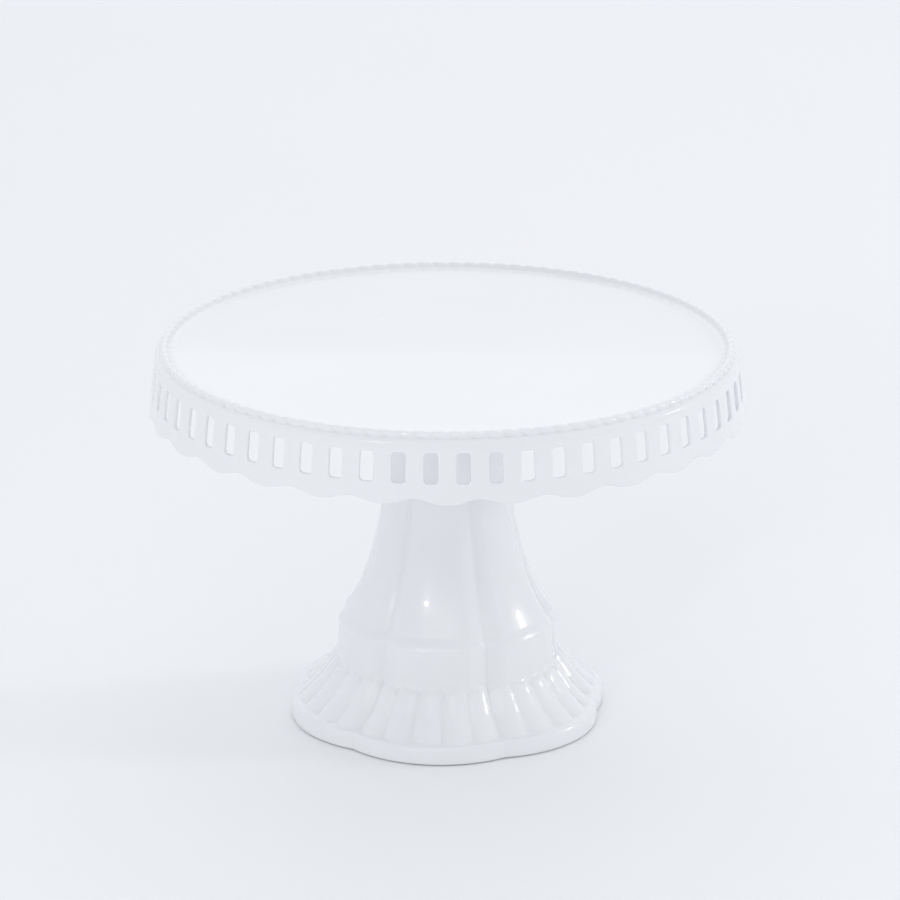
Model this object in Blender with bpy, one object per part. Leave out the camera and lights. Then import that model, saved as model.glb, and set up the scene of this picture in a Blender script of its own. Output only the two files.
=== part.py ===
"""Two-piece pedestal cake stand with a slotted ribbon skirt, modelled in metres, +Z up.

The origin is the centre of the foot, on the table. The front is -Y. Angles are measured
in degrees from the front, positive towards +X. The plate and the pedestal are separate
mouldings. A screw with a push-on knob, inside the hollow pedestal, pulls them together.
"""

import math

import bmesh
import bpy
from mathutils import Vector

MM = 0.001
FIT_GAP = 0.3 * MM          # clearance between two pieces that touch

# Plate: disc, rim and skirt
PLATE_TOP = 200.0 * MM      # top of the raised rim
RIM_RADIUS = 146.6 * MM
RIM_HEIGHT = 3.0 * MM       # rim above the surface that carries the cake
RIM_WIDTH = 3.6 * MM
RIM_FILLET = 2.6 * MM
DISC_THICKNESS = 4.0 * MM
CENTRE_RING = 0.6            # of the rim's inner radius, where the flat disc is split
LEDGE_DROP = 4.6 * MM       # rim top down to the ledge over the skirt
LEDGE_RADIUS = 149.0 * MM
LEDGE_RISE = 1.2 * MM       # the ledge slopes up from the skirt to the rim
HEM_RADIUS = 152.7 * MM
SKIRT_THICKNESS = 2.0 * MM
HEM_DROP = 35.2 * MM        # rim top down to the lowest point of a scallop
SCALLOP_HEIGHT = 2.9 * MM
SCALLOP_POWER = 2.6         # above 2 the scallops are wide and the notches narrow
SCALLOP_COUNT = 30
SLOT_COUNT = 60
SLOT_WIDTH = 6.8 * MM
SLOT_HEIGHT = 14.9 * MM
SLOT_CORNER = 1.2 * MM
SLOT_CENTRE_DROP = 17.25 * MM
SLOT_CUT_INSIDE = 8.0 * MM   # how far the slot cutters reach past the skirt
SLOT_CUT_OUTSIDE = 5.0 * MM
HEM_COLUMNS = 180
RIM_COLUMNS = 90

# Plate: collar and boss on the underside
HUB_COLUMNS = 30
COLLAR_OUTER = 37.6 * MM
COLLAR_INNER = 35.2 * MM
COLLAR_DEPTH = 7.0 * MM
BOSS_RADIUS = 10.0 * MM
BOSS_DEPTH = 14.5 * MM
INSERT_BORE_DEPTH = 13.0 * MM

# Pedestal: heights above the table against the radius at the middle of a lobe
FOOT_CLEARANCE = 0.6 * MM   # the foot pads hold the moulding off the table
FOOT_HEIGHT = 9.5 * MM
FOOT_RADIUS = 82.9 * MM
FOOT_RIM_WIDTH = 10.2 * MM
FOOT_CHAMFER = 0.7 * MM     # at the bottom edge of the foot band
FOOT_SHOULDER = 1.4 * MM    # how far the band's top edge leans in
FOOT_SHOULDER_DROP = 0.6 * MM
FLARE = ((9.5, 79.6), (14.0, 73.6), (20.0, 67.2), (26.0, 62.0), (30.0, 59.4), (33.0, 57.6))
BODY = ((51.5, 56.4), (57.0, 52.3), (66.0, 47.4), (74.5, 43.6), (92.0, 38.3), (110.0, 34.1),
        (125.0, 33.0), (160.0, 33.0))
INSIDE = ((10.5, 71.5), (20.0, 61.5), (27.0, 55.0), (33.0, 53.2), (51.0, 52.0), (66.0, 43.6),
          (92.0, 34.7), (110.0, 30.6), (125.0, 29.6))
SPIGOT_RADIUS = 34.6 * MM
SPIGOT_START = 178.0 * MM
SPIGOT_WALL = 2.6 * MM
SPIGOT_FILLET = 3.4 * MM    # between the spigot's wall and the deck
NECK_BLEND_START = 160.0 * MM  # above here the lobes fade into the round spigot
DECK_TOP = 176.0 * MM
DECK_THICKNESS = 3.0 * MM
SCREW_HOLE_RADIUS = 3.5 * MM
LOBE_COUNT = 6
CREASE_ANGLE = 22.0         # where one of the creases between lobes lies
FOOT_ARC_OFFSET = 24.0 * MM  # centre of each foot arc, from the axis
CREASE_HALF_WIDTH = 8.5     # degrees
CREASE_DEPTH = 0.075        # of the lobe radius
PLEATS_PER_LOBE = 5
PLEAT_HEIGHTS = (9.5, 14.0, 20.0, 25.0, 29.0, 31.0, 34.0)
PLEAT_TOP = 31.0 * MM
PLEAT_DEPTH = 2.4 * MM
PLEAT_POWER = 1.5           # above 1 the crests are wide and the notches narrow
PEDESTAL_COLUMNS = 120
BORE_COLUMNS = 20

# Fasteners
SCREW_RADIUS = 3.0 * MM     # M6
SCREW_TOP = 189.5 * MM
SCREW_TIP = 0.7 * MM        # chamfer at the end of the shank
HEX_FLATS = 10.0 * MM
HEX_HEIGHT = 4.0 * MM
WASHER_RADIUS = 12.0 * MM
WASHER_HOLE_RADIUS = 3.4 * MM
WASHER_THICKNESS = 1.4 * MM
GASKET_RADIUS = 12.0 * MM
GASKET_HOLE_RADIUS = 3.8 * MM
INSERT_OUTER = 4.3 * MM
INSERT_INNER = 3.3 * MM
INSERT_LENGTH = 12.0 * MM
RING_COLUMNS = 24
SCREW_COLUMNS = 24
KNOB_RADIUS = 15.0 * MM
KNOB_WAVE = 1.6 * MM
KNOB_GRIPS = 6
KNOB_HEIGHT = 13.0 * MM
KNOB_COLUMNS = 48
KNOB_EDGE = 1.5 * MM
KNOB_HUB_RADIUS = 9.0 * MM
KNOB_HUB_HEIGHT = 3.0 * MM

# Foot pads
PAD_RADIUS = 3.6 * MM
PAD_THICKNESS = 1.6 * MM
PAD_CIRCLE = 77.6 * MM
PAD_COLUMNS = 16

# Heights that follow from the sizes above
SURFACE_Z = PLATE_TOP - RIM_HEIGHT
UNDERSIDE_Z = SURFACE_Z - DISC_THICKNESS
HEM_Z = PLATE_TOP - HEM_DROP
LEDGE_Z = PLATE_TOP - LEDGE_DROP
DECK_UNDERSIDE = DECK_TOP - DECK_THICKNESS
SPIGOT_TOP = UNDERSIDE_Z - 0.4 * MM
BOSS_END = UNDERSIDE_Z - BOSS_DEPTH
WASHER_TOP = DECK_UNDERSIDE - FIT_GAP
HEAD_TOP = WASHER_TOP - WASHER_THICKNESS - FIT_GAP
LOBE_STEP = 360.0 / LOBE_COUNT


def clear_scene():
    for item in list(bpy.data.objects):
        bpy.data.objects.remove(item, do_unlink=True)


def plastic_white():
    return make_material("white_plastic", (0.90, 0.91, 0.92), 0.22, 0.0)


def knob_plastic():
    return make_material("knob_plastic", (0.82, 0.83, 0.84), 0.38, 0.0)


def zinc_steel():
    return make_material("zinc_steel", (0.62, 0.63, 0.64), 0.32, 1.0)


def brass():
    return make_material("brass", (0.78, 0.60, 0.27), 0.35, 1.0)


def gasket_rubber():
    return make_material("gasket_rubber", (0.05, 0.05, 0.05), 0.75, 0.0)


def pad_rubber():
    return make_material("pad_rubber", (0.78, 0.79, 0.80), 0.6, 0.0)


def make_material(name, colour, roughness, metallic):
    material = bpy.data.materials.new(name)
    material.use_nodes = True
    shader = material.node_tree.nodes["Principled BSDF"]
    shader.inputs["Base Color"].default_value = (*colour, 1.0)
    shader.inputs["Roughness"].default_value = roughness
    shader.inputs["Metallic"].default_value = metallic
    return material


def polar(angle, radius, height):
    """Point at an angle in degrees from the front, positive towards +X."""
    turn = math.radians(angle)
    return Vector((radius * math.sin(turn), -radius * math.cos(turn), height))


def interpolate(points, height):
    """Read a radius from a list of (height, radius) points by straight lines."""
    if height <= points[0][0]:
        return points[0][1]
    for (low, low_radius), (high, high_radius) in zip(points, points[1:]):
        if height <= high:
            share = (height - low) / (high - low)
            return low_radius + share * (high_radius - low_radius)
    return points[-1][1]


def smoothstep(value):
    value = min(max(value, 0.0), 1.0)
    return value * value * (3.0 - 2.0 * value)


def column_angles(count, start=0.0):
    return [start + 360.0 * index / count for index in range(count)]


def add_ring(mesh, angles, radius, height):
    """Ring of vertices; radius and height are numbers or functions of the angle."""
    ring = []
    for angle in angles:
        ring_radius = radius(angle) if callable(radius) else radius
        ring_height = height(angle) if callable(height) else height
        ring.append(mesh.verts.new(polar(angle, ring_radius, ring_height)))
    return ring


def bridge(mesh, first, second):
    """Join two rings. The counts are equal, or the first has a whole multiple of the second."""
    if len(first) < len(second):
        first, second = second, first
    ratio = len(first) // len(second)
    for index, corner in enumerate(second):
        following = second[(index + 1) % len(second)]
        fine = [first[(index * ratio + step) % len(first)] for step in range(ratio + 1)]
        if ratio == 1:
            mesh.faces.new((corner, following, fine[1], fine[0]))
            continue
        middle = (ratio + 1) // 2
        for step in range(middle):
            mesh.faces.new((corner, fine[step], fine[step + 1]))
        mesh.faces.new((corner, fine[middle], following))
        for step in range(middle, ratio):
            mesh.faces.new((following, fine[step], fine[step + 1]))


def cap(mesh, ring, height):
    """Close a round ring with a fan to a point on the axis."""
    middle = mesh.verts.new(Vector((0.0, 0.0, height)))
    for index, vertex in enumerate(ring):
        mesh.faces.new((middle, vertex, ring[(index + 1) % len(ring)]))


def stack(mesh, rings):
    for first, second in zip(rings, rings[1:]):
        bridge(mesh, first, second)


def finish(mesh, name, material, sharp_angle=40.0):
    bmesh.ops.recalc_face_normals(mesh, faces=mesh.faces)
    data = bpy.data.meshes.new(name)
    mesh.to_mesh(data)
    mesh.free()
    data.shade_smooth()
    data.set_sharp_from_angle(angle=math.radians(sharp_angle))
    if material is not None:
        data.materials.append(material)
    item = bpy.data.objects.new(name, data)
    bpy.context.scene.collection.objects.link(item)
    return item


def cut(item, cutter):
    """Cut a piece with a hidden cutter."""
    cutter.hide_render = True
    cutter.display_type = "WIRE"
    boolean = item.modifiers.new("cut", "BOOLEAN")
    boolean.operation = "DIFFERENCE"
    boolean.solver = "EXACT"
    boolean.object = cutter


def prism(mesh, outline, start, end):
    """Closed prism: an outline moved from one offset to another."""
    near = [mesh.verts.new(point + start) for point in outline]
    far = [mesh.verts.new(point + end) for point in outline]
    for index in range(len(outline)):
        after = (index + 1) % len(outline)
        mesh.faces.new((near[index], near[after], far[after], far[index]))
    mesh.faces.new(near)
    mesh.faces.new(far)


# The plate

def hem_height(angle):
    """Scalloped lower edge, lowest at the front and at every whole scallop."""
    wave = abs(math.sin(math.radians(angle * SCALLOP_COUNT / 2.0)))
    return HEM_Z + SCALLOP_HEIGHT * wave ** SCALLOP_POWER


def skirt_radius(height):
    """Outer face of the skirt, which flares in a straight line."""
    share = (LEDGE_Z - height) / (LEDGE_Z - HEM_Z)
    return LEDGE_RADIUS + share * (HEM_RADIUS - LEDGE_RADIUS)


def plate_rings(mesh):
    angles = column_angles(RIM_COLUMNS)
    hem_angles = column_angles(HEM_COLUMNS)
    hub_angles = column_angles(HUB_COLUMNS)
    rim_inner = RIM_RADIUS - RIM_WIDTH
    skirt_inner = skirt_radius(UNDERSIDE_Z) - SKIRT_THICKNESS
    outline = (
        (rim_inner - RIM_FILLET, SURFACE_Z),
        (rim_inner - RIM_FILLET * 0.3, SURFACE_Z + RIM_FILLET * 0.3),
        (rim_inner, SURFACE_Z + RIM_HEIGHT * 0.7),
        (rim_inner + RIM_WIDTH * 0.3, PLATE_TOP),
        (RIM_RADIUS - RIM_WIDTH * 0.3, PLATE_TOP),
        (RIM_RADIUS, PLATE_TOP - RIM_HEIGHT * 0.35),
        (RIM_RADIUS, LEDGE_Z + LEDGE_RISE),
        (LEDGE_RADIUS, LEDGE_Z),
    )
    rings = [add_ring(mesh, hub_angles, rim_inner * CENTRE_RING, SURFACE_Z)]
    rings += [add_ring(mesh, angles, radius, height) for radius, height in outline]
    rings.append(add_ring(mesh, hem_angles, HEM_RADIUS, hem_height))
    rings.append(add_ring(mesh, hem_angles, HEM_RADIUS - SKIRT_THICKNESS, hem_height))
    rings.append(add_ring(mesh, angles, skirt_inner, UNDERSIDE_Z))
    hub = (
        (COLLAR_OUTER, UNDERSIDE_Z),
        (COLLAR_OUTER, UNDERSIDE_Z - COLLAR_DEPTH),
        (COLLAR_INNER, UNDERSIDE_Z - COLLAR_DEPTH),
        (COLLAR_INNER, UNDERSIDE_Z),
        (BOSS_RADIUS, UNDERSIDE_Z),
        (BOSS_RADIUS, BOSS_END),
        (INSERT_OUTER + FIT_GAP, BOSS_END),
        (INSERT_OUTER + FIT_GAP, BOSS_END + INSERT_BORE_DEPTH),
    )
    rings += [add_ring(mesh, hub_angles, radius, height) for radius, height in hub]
    return rings


def slot_cutters():
    """One hidden mesh with a prism for every ribbon slot, pointing out from the axis."""
    half_width = SLOT_WIDTH / 2.0
    half_height = SLOT_HEIGHT / 2.0
    corners = (
        (half_width, half_height - SLOT_CORNER),
        (half_width - SLOT_CORNER, half_height),
    )
    signs = ((1, 1), (-1, 1), (-1, -1), (1, -1))
    mesh = bmesh.new()
    for index in range(SLOT_COUNT):
        angle = (index + 0.5) * 360.0 / SLOT_COUNT
        outward = polar(angle, 1.0, 0.0)
        across = polar(angle + 90.0, 1.0, 0.0)
        centre = Vector((0.0, 0.0, PLATE_TOP - SLOT_CENTRE_DROP))
        outline = []
        for side, (sign_x, sign_z) in enumerate(signs):
            pair = corners if side % 2 == 0 else corners[::-1]
            for x, z in pair:
                outline.append(centre + across * (x * sign_x) + Vector((0.0, 0.0, z * sign_z)))
        start = outward * (LEDGE_RADIUS - SLOT_CUT_INSIDE)
        prism(mesh, outline, start, outward * (HEM_RADIUS + SLOT_CUT_OUTSIDE))
    return finish(mesh, "slot_cutter", None)


def plate():
    mesh = bmesh.new()
    rings = plate_rings(mesh)
    stack(mesh, rings)
    cap(mesh, rings[0], SURFACE_Z)
    cap(mesh, rings[-1], BOSS_END + INSERT_BORE_DEPTH)
    item = finish(mesh, "plate", plastic_white())
    cut(item, slot_cutters())
    return item


# The pedestal

def lobe_angle(angle):
    """Degrees from the middle of the nearest lobe: 0 at the middle, 30 at a crease."""
    from_crease = (angle - CREASE_ANGLE) % LOBE_STEP
    return from_crease - LOBE_STEP / 2.0


def foot_radius(angle):
    """Foot outline: six circular arcs that meet at the creases."""
    turn = math.radians(lobe_angle(angle))
    arc_radius = FOOT_RADIUS - FOOT_ARC_OFFSET
    reach = math.sqrt(arc_radius ** 2 - (FOOT_ARC_OFFSET * math.sin(turn)) ** 2)
    return FOOT_ARC_OFFSET * math.cos(turn) + reach


def lobe_shape(angle):
    """Share of the lobe radius: 1 across the face, less in the groove at each crease."""
    from_crease = LOBE_STEP / 2.0 - abs(lobe_angle(angle))
    return 1.0 - CREASE_DEPTH * (1.0 - smoothstep(from_crease / CREASE_HALF_WIDTH))


def pleat_wave(angle):
    """0 on the crest of a pleat and 1 in the notch between two pleats."""
    phase = (lobe_angle(angle) + LOBE_STEP / 2.0) * PLEATS_PER_LOBE / LOBE_STEP
    return abs(math.cos(math.pi * phase)) ** PLEAT_POWER


def pedestal_radius(angle, height):
    """Outer face of the pedestal above the foot band."""
    height_mm = height / MM
    if height < PLEAT_TOP:
        crest = interpolate(FLARE, height_mm) * MM
        growth = smoothstep((PLEAT_TOP - height) / (PLEAT_TOP - FOOT_HEIGHT) * 2.0)
        blend = smoothstep((height - FOOT_HEIGHT) / (PLEAT_TOP - FOOT_HEIGHT))
        foot_share = foot_radius(angle) / FOOT_RADIUS
        share = foot_share + blend * (lobe_shape(angle) - foot_share)
        return crest * share - PLEAT_DEPTH * growth * pleat_wave(angle)
    body = interpolate(FLARE[-1:] + BODY, height_mm) * MM
    round_share = smoothstep((height - NECK_BLEND_START) / (SPIGOT_START - NECK_BLEND_START))
    lobed = body * lobe_shape(angle)
    return lobed + round_share * (SPIGOT_RADIUS - lobed)


def inside_radius(angle, height):
    """Inner face, which follows the lobes but not the pleats."""
    plain = interpolate(INSIDE, height / MM) * MM
    return plain * lobe_shape(angle)


def pedestal_rings(mesh):
    angles = column_angles(PEDESTAL_COLUMNS, CREASE_ANGLE)
    inner_angles = column_angles(PEDESTAL_COLUMNS // 2, CREASE_ANGLE)
    bore_angles = column_angles(BORE_COLUMNS, CREASE_ANGLE)
    rings = [
        add_ring(mesh, angles, lambda angle: foot_radius(angle) - FOOT_CHAMFER, FOOT_CLEARANCE),
        add_ring(mesh, angles, foot_radius, FOOT_CLEARANCE + FOOT_CHAMFER),
        add_ring(mesh, angles, lambda angle: foot_radius(angle) - FOOT_SHOULDER,
                 FOOT_HEIGHT - FOOT_SHOULDER_DROP),
    ]
    heights = [height * MM for height in PLEAT_HEIGHTS]
    heights += [height * MM for height, _ in BODY]
    heights += [SPIGOT_START, SPIGOT_TOP]
    for height in heights:
        rings.append(add_ring(mesh, angles, lambda angle: pedestal_radius(angle, height), height))
    wall_inner = SPIGOT_RADIUS - SPIGOT_WALL
    rings += [
        add_ring(mesh, inner_angles, wall_inner, SPIGOT_TOP),
        add_ring(mesh, inner_angles, wall_inner - SPIGOT_FILLET, DECK_TOP),
        add_ring(mesh, bore_angles, SCREW_HOLE_RADIUS, DECK_TOP),
        add_ring(mesh, bore_angles, SCREW_HOLE_RADIUS, DECK_UNDERSIDE),
        add_ring(mesh, inner_angles, lambda angle: inside_radius(angle, DECK_UNDERSIDE), DECK_UNDERSIDE),
    ]
    for height, _ in reversed(INSIDE):
        height *= MM
        rings.append(add_ring(mesh, inner_angles, lambda angle: inside_radius(angle, height), height))
    rings.append(add_ring(
        mesh, inner_angles, lambda angle: foot_radius(angle) - FOOT_RIM_WIDTH, FOOT_CLEARANCE))
    return rings


def pad_places():
    """Angle of the middle of each lobe, where a pad sits."""
    return [CREASE_ANGLE + LOBE_STEP * (index + 0.5) for index in range(LOBE_COUNT)]


def disc_outline(centre, radius, count):
    outline = []
    for angle in column_angles(count):
        outline.append(centre + polar(angle, radius, 0.0))
    return outline


def pad_pockets():
    mesh = bmesh.new()
    for angle in pad_places():
        outline = disc_outline(polar(angle, PAD_CIRCLE, 0.0), PAD_RADIUS + 0.4 * MM, PAD_COLUMNS)
        prism(mesh, outline, Vector((0, 0, -1.0 * MM)), Vector((0, 0, PAD_THICKNESS + FIT_GAP)))
    return finish(mesh, "pocket_cutter", None)


def pedestal():
    mesh = bmesh.new()
    rings = pedestal_rings(mesh)
    stack(mesh, rings + rings[:1])
    item = finish(mesh, "pedestal", plastic_white(), 35.0)
    cut(item, pad_pockets())
    return item


def foot_pads(parent):
    material = pad_rubber()
    for index, angle in enumerate(pad_places()):
        mesh = bmesh.new()
        outline = disc_outline(Vector((0, 0, 0)), PAD_RADIUS, PAD_COLUMNS)
        prism(mesh, outline, Vector((0, 0, 0)), Vector((0, 0, PAD_THICKNESS)))
        pad = finish(mesh, f"foot_pad_{index + 1}", material)
        pad.location = polar(angle, PAD_CIRCLE, 0.0)
        pad.parent = parent


# Fasteners

def flat_ring(name, material, outer, inner, low, high, columns=RING_COLUMNS):
    """Washer, gasket or sleeve: a flat ring round the axis."""
    mesh = bmesh.new()
    angles = column_angles(columns)
    corners = ((outer, low), (outer, high), (inner, high), (inner, low))
    rings = [add_ring(mesh, angles, radius, height) for radius, height in corners]
    stack(mesh, rings + rings[:1])
    return finish(mesh, name, material)


def hex_ring(mesh, flats, height):
    return add_ring(mesh, column_angles(6), flats / math.sqrt(3.0), height)


def clamp_screw():
    mesh = bmesh.new()
    angles = column_angles(SCREW_COLUMNS)
    rings = [
        hex_ring(mesh, HEX_FLATS, HEAD_TOP - HEX_HEIGHT),
        hex_ring(mesh, HEX_FLATS, HEAD_TOP),
        add_ring(mesh, angles, SCREW_RADIUS, HEAD_TOP),
        add_ring(mesh, angles, SCREW_RADIUS, SCREW_TOP - SCREW_TIP),
        add_ring(mesh, angles, SCREW_RADIUS - SCREW_TIP, SCREW_TOP),
    ]
    stack(mesh, rings)
    cap(mesh, rings[0], HEAD_TOP - HEX_HEIGHT)
    cap(mesh, rings[-1], SCREW_TOP)
    return finish(mesh, "clamp_screw", zinc_steel())


def hex_pocket():
    mesh = bmesh.new()
    low = HEAD_TOP - HEX_HEIGHT - FIT_GAP
    rings = [hex_ring(mesh, HEX_FLATS + 2 * FIT_GAP, height) for height in (low, HEAD_TOP + FIT_GAP)]
    stack(mesh, rings)
    cap(mesh, rings[0], low)
    cap(mesh, rings[1], HEAD_TOP + FIT_GAP)
    return finish(mesh, "hex_cutter", None)


def knob_radius(angle):
    return KNOB_RADIUS + KNOB_WAVE * math.cos(math.radians(angle * KNOB_GRIPS))


def screw_knob():
    """Star knob that pushes on to the screw's hexagon head from below."""
    mesh = bmesh.new()
    angles = column_angles(KNOB_COLUMNS)
    bottom = HEAD_TOP - KNOB_HEIGHT
    grip_top = HEAD_TOP - KNOB_HUB_HEIGHT
    rings = [
        add_ring(mesh, angles, lambda angle: knob_radius(angle) - KNOB_EDGE, bottom),
        add_ring(mesh, angles, knob_radius, bottom + KNOB_EDGE),
        add_ring(mesh, angles, knob_radius, grip_top - KNOB_EDGE),
        add_ring(mesh, angles, lambda angle: knob_radius(angle) - KNOB_EDGE, grip_top),
        add_ring(mesh, angles, KNOB_HUB_RADIUS, grip_top),
        add_ring(mesh, angles, KNOB_HUB_RADIUS, HEAD_TOP),
    ]
    stack(mesh, rings)
    cap(mesh, rings[0], bottom)
    cap(mesh, rings[-1], HEAD_TOP)
    item = finish(mesh, "screw_knob", knob_plastic())
    cut(item, hex_pocket())
    return item


def empty(name):
    item = bpy.data.objects.new(name, None)
    bpy.context.scene.collection.objects.link(item)
    return item


def build():
    clear_scene()
    foot_pads(pedestal())
    top = plate()
    insert_low = BOSS_END + FIT_GAP
    insert = flat_ring("threaded_insert", brass(), INSERT_OUTER, INSERT_INNER,
                       insert_low, insert_low + INSERT_LENGTH)
    insert.parent = top
    flat_ring("rubber_gasket", gasket_rubber(), GASKET_RADIUS, GASKET_HOLE_RADIUS,
              DECK_TOP + FIT_GAP, BOSS_END - FIT_GAP)
    steel = zinc_steel()
    flat_ring("steel_washer", steel, WASHER_RADIUS, WASHER_HOLE_RADIUS,
              WASHER_TOP - WASHER_THICKNESS, WASHER_TOP)
    turning = empty("screw_axis")
    for item in (clamp_screw(), screw_knob()):
        item.parent = turning


build()
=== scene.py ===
"""Looks for the pedestal cake stand: fine meshes, procedural materials, light and camera.

Angles are in degrees from the front (-Y), positive towards +X, as in the CAD frame.
The boxes of the CAD pieces are read from the frame; the rest are named sizes in metres,
or in millimetres where a turned profile is listed.
"""

import math

import bmesh
import bpy
import numpy as np
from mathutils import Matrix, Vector


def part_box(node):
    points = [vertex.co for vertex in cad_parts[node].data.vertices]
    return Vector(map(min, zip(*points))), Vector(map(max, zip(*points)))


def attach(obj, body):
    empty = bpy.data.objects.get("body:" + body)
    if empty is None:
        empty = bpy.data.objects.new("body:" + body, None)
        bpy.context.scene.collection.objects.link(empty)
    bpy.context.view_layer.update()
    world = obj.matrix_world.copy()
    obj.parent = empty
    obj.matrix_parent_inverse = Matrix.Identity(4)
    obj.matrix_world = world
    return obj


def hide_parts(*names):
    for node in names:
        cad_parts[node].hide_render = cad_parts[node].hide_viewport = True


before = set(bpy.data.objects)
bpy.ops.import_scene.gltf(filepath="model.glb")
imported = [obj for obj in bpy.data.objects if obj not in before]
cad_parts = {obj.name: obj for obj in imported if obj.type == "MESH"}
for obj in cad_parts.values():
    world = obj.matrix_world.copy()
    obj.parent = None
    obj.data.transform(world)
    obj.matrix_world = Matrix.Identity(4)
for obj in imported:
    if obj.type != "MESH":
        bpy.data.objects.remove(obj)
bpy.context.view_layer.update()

MM = 0.001
PLATE_LOW, PLATE_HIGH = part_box("plate")
PEDESTAL_LOW, PEDESTAL_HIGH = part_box("pedestal")

# Plate: levels and radii
RIM_HEIGHT = 3.0 * MM       # rim above the surface that carries the cake
DISC_THICKNESS = 4.0 * MM
LEDGE_DROP = 4.6 * MM       # rim top down to the ledge over the skirt
PLATE_TOP = PLATE_HIGH[2]
HEM_Z = PLATE_LOW[2]
HEM_RADIUS = PLATE_HIGH[0]
SURFACE_Z = PLATE_TOP - RIM_HEIGHT
UNDERSIDE_Z = SURFACE_Z - DISC_THICKNESS
LEDGE_Z = PLATE_TOP - LEDGE_DROP
LEDGE_RISE = 1.2 * MM       # the ledge slopes up from the skirt to the rope
LEDGE_RADIUS = HEM_RADIUS - 3.7 * MM
SKIRT_THICKNESS = 2.0 * MM

# Plate: rope bead on the rim
ROPE_RADIUS = 2.15 * MM
ROPE_INSET = 6.1 * MM       # hem's radius less the rope's outer side
ROPE_CIRCLE = HEM_RADIUS - ROPE_INSET - ROPE_RADIUS
ROPE_STRANDS = 108
ROPE_TWIST = 0.62
ROPE_GROOVE = 0.36          # groove depth as a share of the rope radius
ROPE_START = 150.0
ROPE_END = -33.0            # below 0 the rope's face drops straight to the ledge
ROPE_ROWS = 22
RIM_FILLET_START = 7.2 * MM
RIM_FILLET_POWER = 2.9      # lets the fillet meet the rope's inner side without a kink

# Plate: skirt with slots and scallops
CELL_COLUMNS = 18
CELL_ROWS = 20
SLOT_COUNT = 60
COLUMNS = CELL_COLUMNS * SLOT_COUNT
SLOT_HALF_WIDTH = 3.4 * MM
SLOT_HALF_HEIGHT = 7.45 * MM
SLOT_CORNER = 1.8 * MM
SLOT_EDGE = 0.6 * MM
SLOT_Z = PLATE_TOP - 17.25 * MM
CELL_HALF_HEIGHT = 8.7 * MM
SCALLOP_COUNT = 30
SCALLOP_HEIGHT = 2.9 * MM
SCALLOP_POWER = 2.6
HEM_EDGE = 0.7 * MM

# Plate: hub under the disc
COLLAR_OUTER = 37.6 * MM
COLLAR_INNER = 35.2 * MM
COLLAR_DEPTH = 7.0 * MM
BOSS_RADIUS = 10.0 * MM
BOSS_DEPTH = 14.5 * MM
INSERT_BORE = 4.6 * MM
INSERT_BORE_DEPTH = 13.0 * MM

# Pedestal: heights and radii in mm at the middle of a lobe, as turned profiles
LOBE_STEP = 60.0
CREASE_ANGLE = 22.0
FOOT_RADIUS = 82.9 * MM
FOOT_ARC_OFFSET = 24.0 * MM
FOOT_RIM_WIDTH = 10.2 * MM
CREASE_HALF_WIDTH = 11.5
CREASE_DEPTH = 0.070
CREASE_POWER = 1.7
CREASE_FILLET = 1.1         # degrees over which the bottom of a crease is rounded
PLEAT_STEP = 12.0
PLEAT_SAG = 2.3             # mm that a pleat's sides lie below its crest
PLEAT_POWER = 2.2
PLEAT_TOP = 33.0            # mm: the pleats end here and the smooth body begins
PLEAT_SOFTNESS = 0.55       # mm over which a pleat's corners are rounded
INSIDE_SOFTNESS = 1.0       # mm over which the inside's corners are rounded
PLEAT_CREST = ((9.4, 79.5), (14.0, 73.7), (20.0, 67.3), (26.0, 62.6), (28.8, 60.7), (30.4, 59.3),
               (31.4, 57.9), (33.0, 57.5))
BODY = ((33.0, 57.5), (51.6, 56.4), (53.6, 55.2), (57.0, 52.3), (66.0, 47.4), (74.5, 43.6),
        (92.0, 38.3), (110.0, 34.4), (125.0, 33.1), (160.0, 33.0), (200.0, 33.0))
INSIDE = ((9.0, 72.3), (14.0, 67.6), (20.0, 61.5), (27.0, 55.0), (33.0, 53.2), (51.0, 52.0),
          (57.0, 48.4), (66.0, 43.6), (74.5, 39.8), (92.0, 34.7), (110.0, 30.8), (125.0, 29.6),
          (200.0, 29.6))
SPIGOT_RADIUS = 34.6 * MM
NECK_BLEND_START = 160.0 * MM  # above here the lobes fade into the round spigot
SPIGOT_START = 178.0 * MM
SPIGOT_WALL = 2.6 * MM
DECK_TOP = 176.0 * MM
DECK_THICKNESS = 3.0 * MM
SCREW_HOLE = 3.5 * MM
PEDESTAL_COLUMNS = 600
INSIDE_COLUMNS = 200

# Fasteners and pads: sizes that the CAD boxes don't give
SCREW_LOW, SCREW_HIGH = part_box("clamp_screw")
SCREW_RADIUS = 3.0 * MM     # M6
THREAD_ROOT = 2.45 * MM
THREAD_PITCH = 1.0 * MM
THREAD_START = SCREW_LOW[2] + 6.4 * MM
HEX_FLATS = 10.0 * MM
HEX_HEIGHT = 4.0 * MM
SCREW_COLUMNS = 72
KNOB_LOW, KNOB_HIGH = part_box("screw_knob")
KNOB_RADIUS = 15.0 * MM
KNOB_WAVE = 1.6 * MM
KNOB_GRIPS = 6
KNOB_EDGE = 1.6 * MM
KNOB_HUB_HEIGHT = 3.0 * MM
HEX_POCKET_FLATS = 10.6 * MM
WASHER_HOLE = 3.4 * MM
GASKET_HOLE = 3.8 * MM
INSERT_INNER = 3.3 * MM
KNURL_TEETH = 36
PAD_COUNT = 6
PAD_GAP = 0.4 * MM

# Studio
WORLD_LEVEL = 0.82
WORLD_LEAN = (0.0, 0.17, 0.0)
LIGHT_TARGET_Z = 0.12


# Mesh helpers

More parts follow.
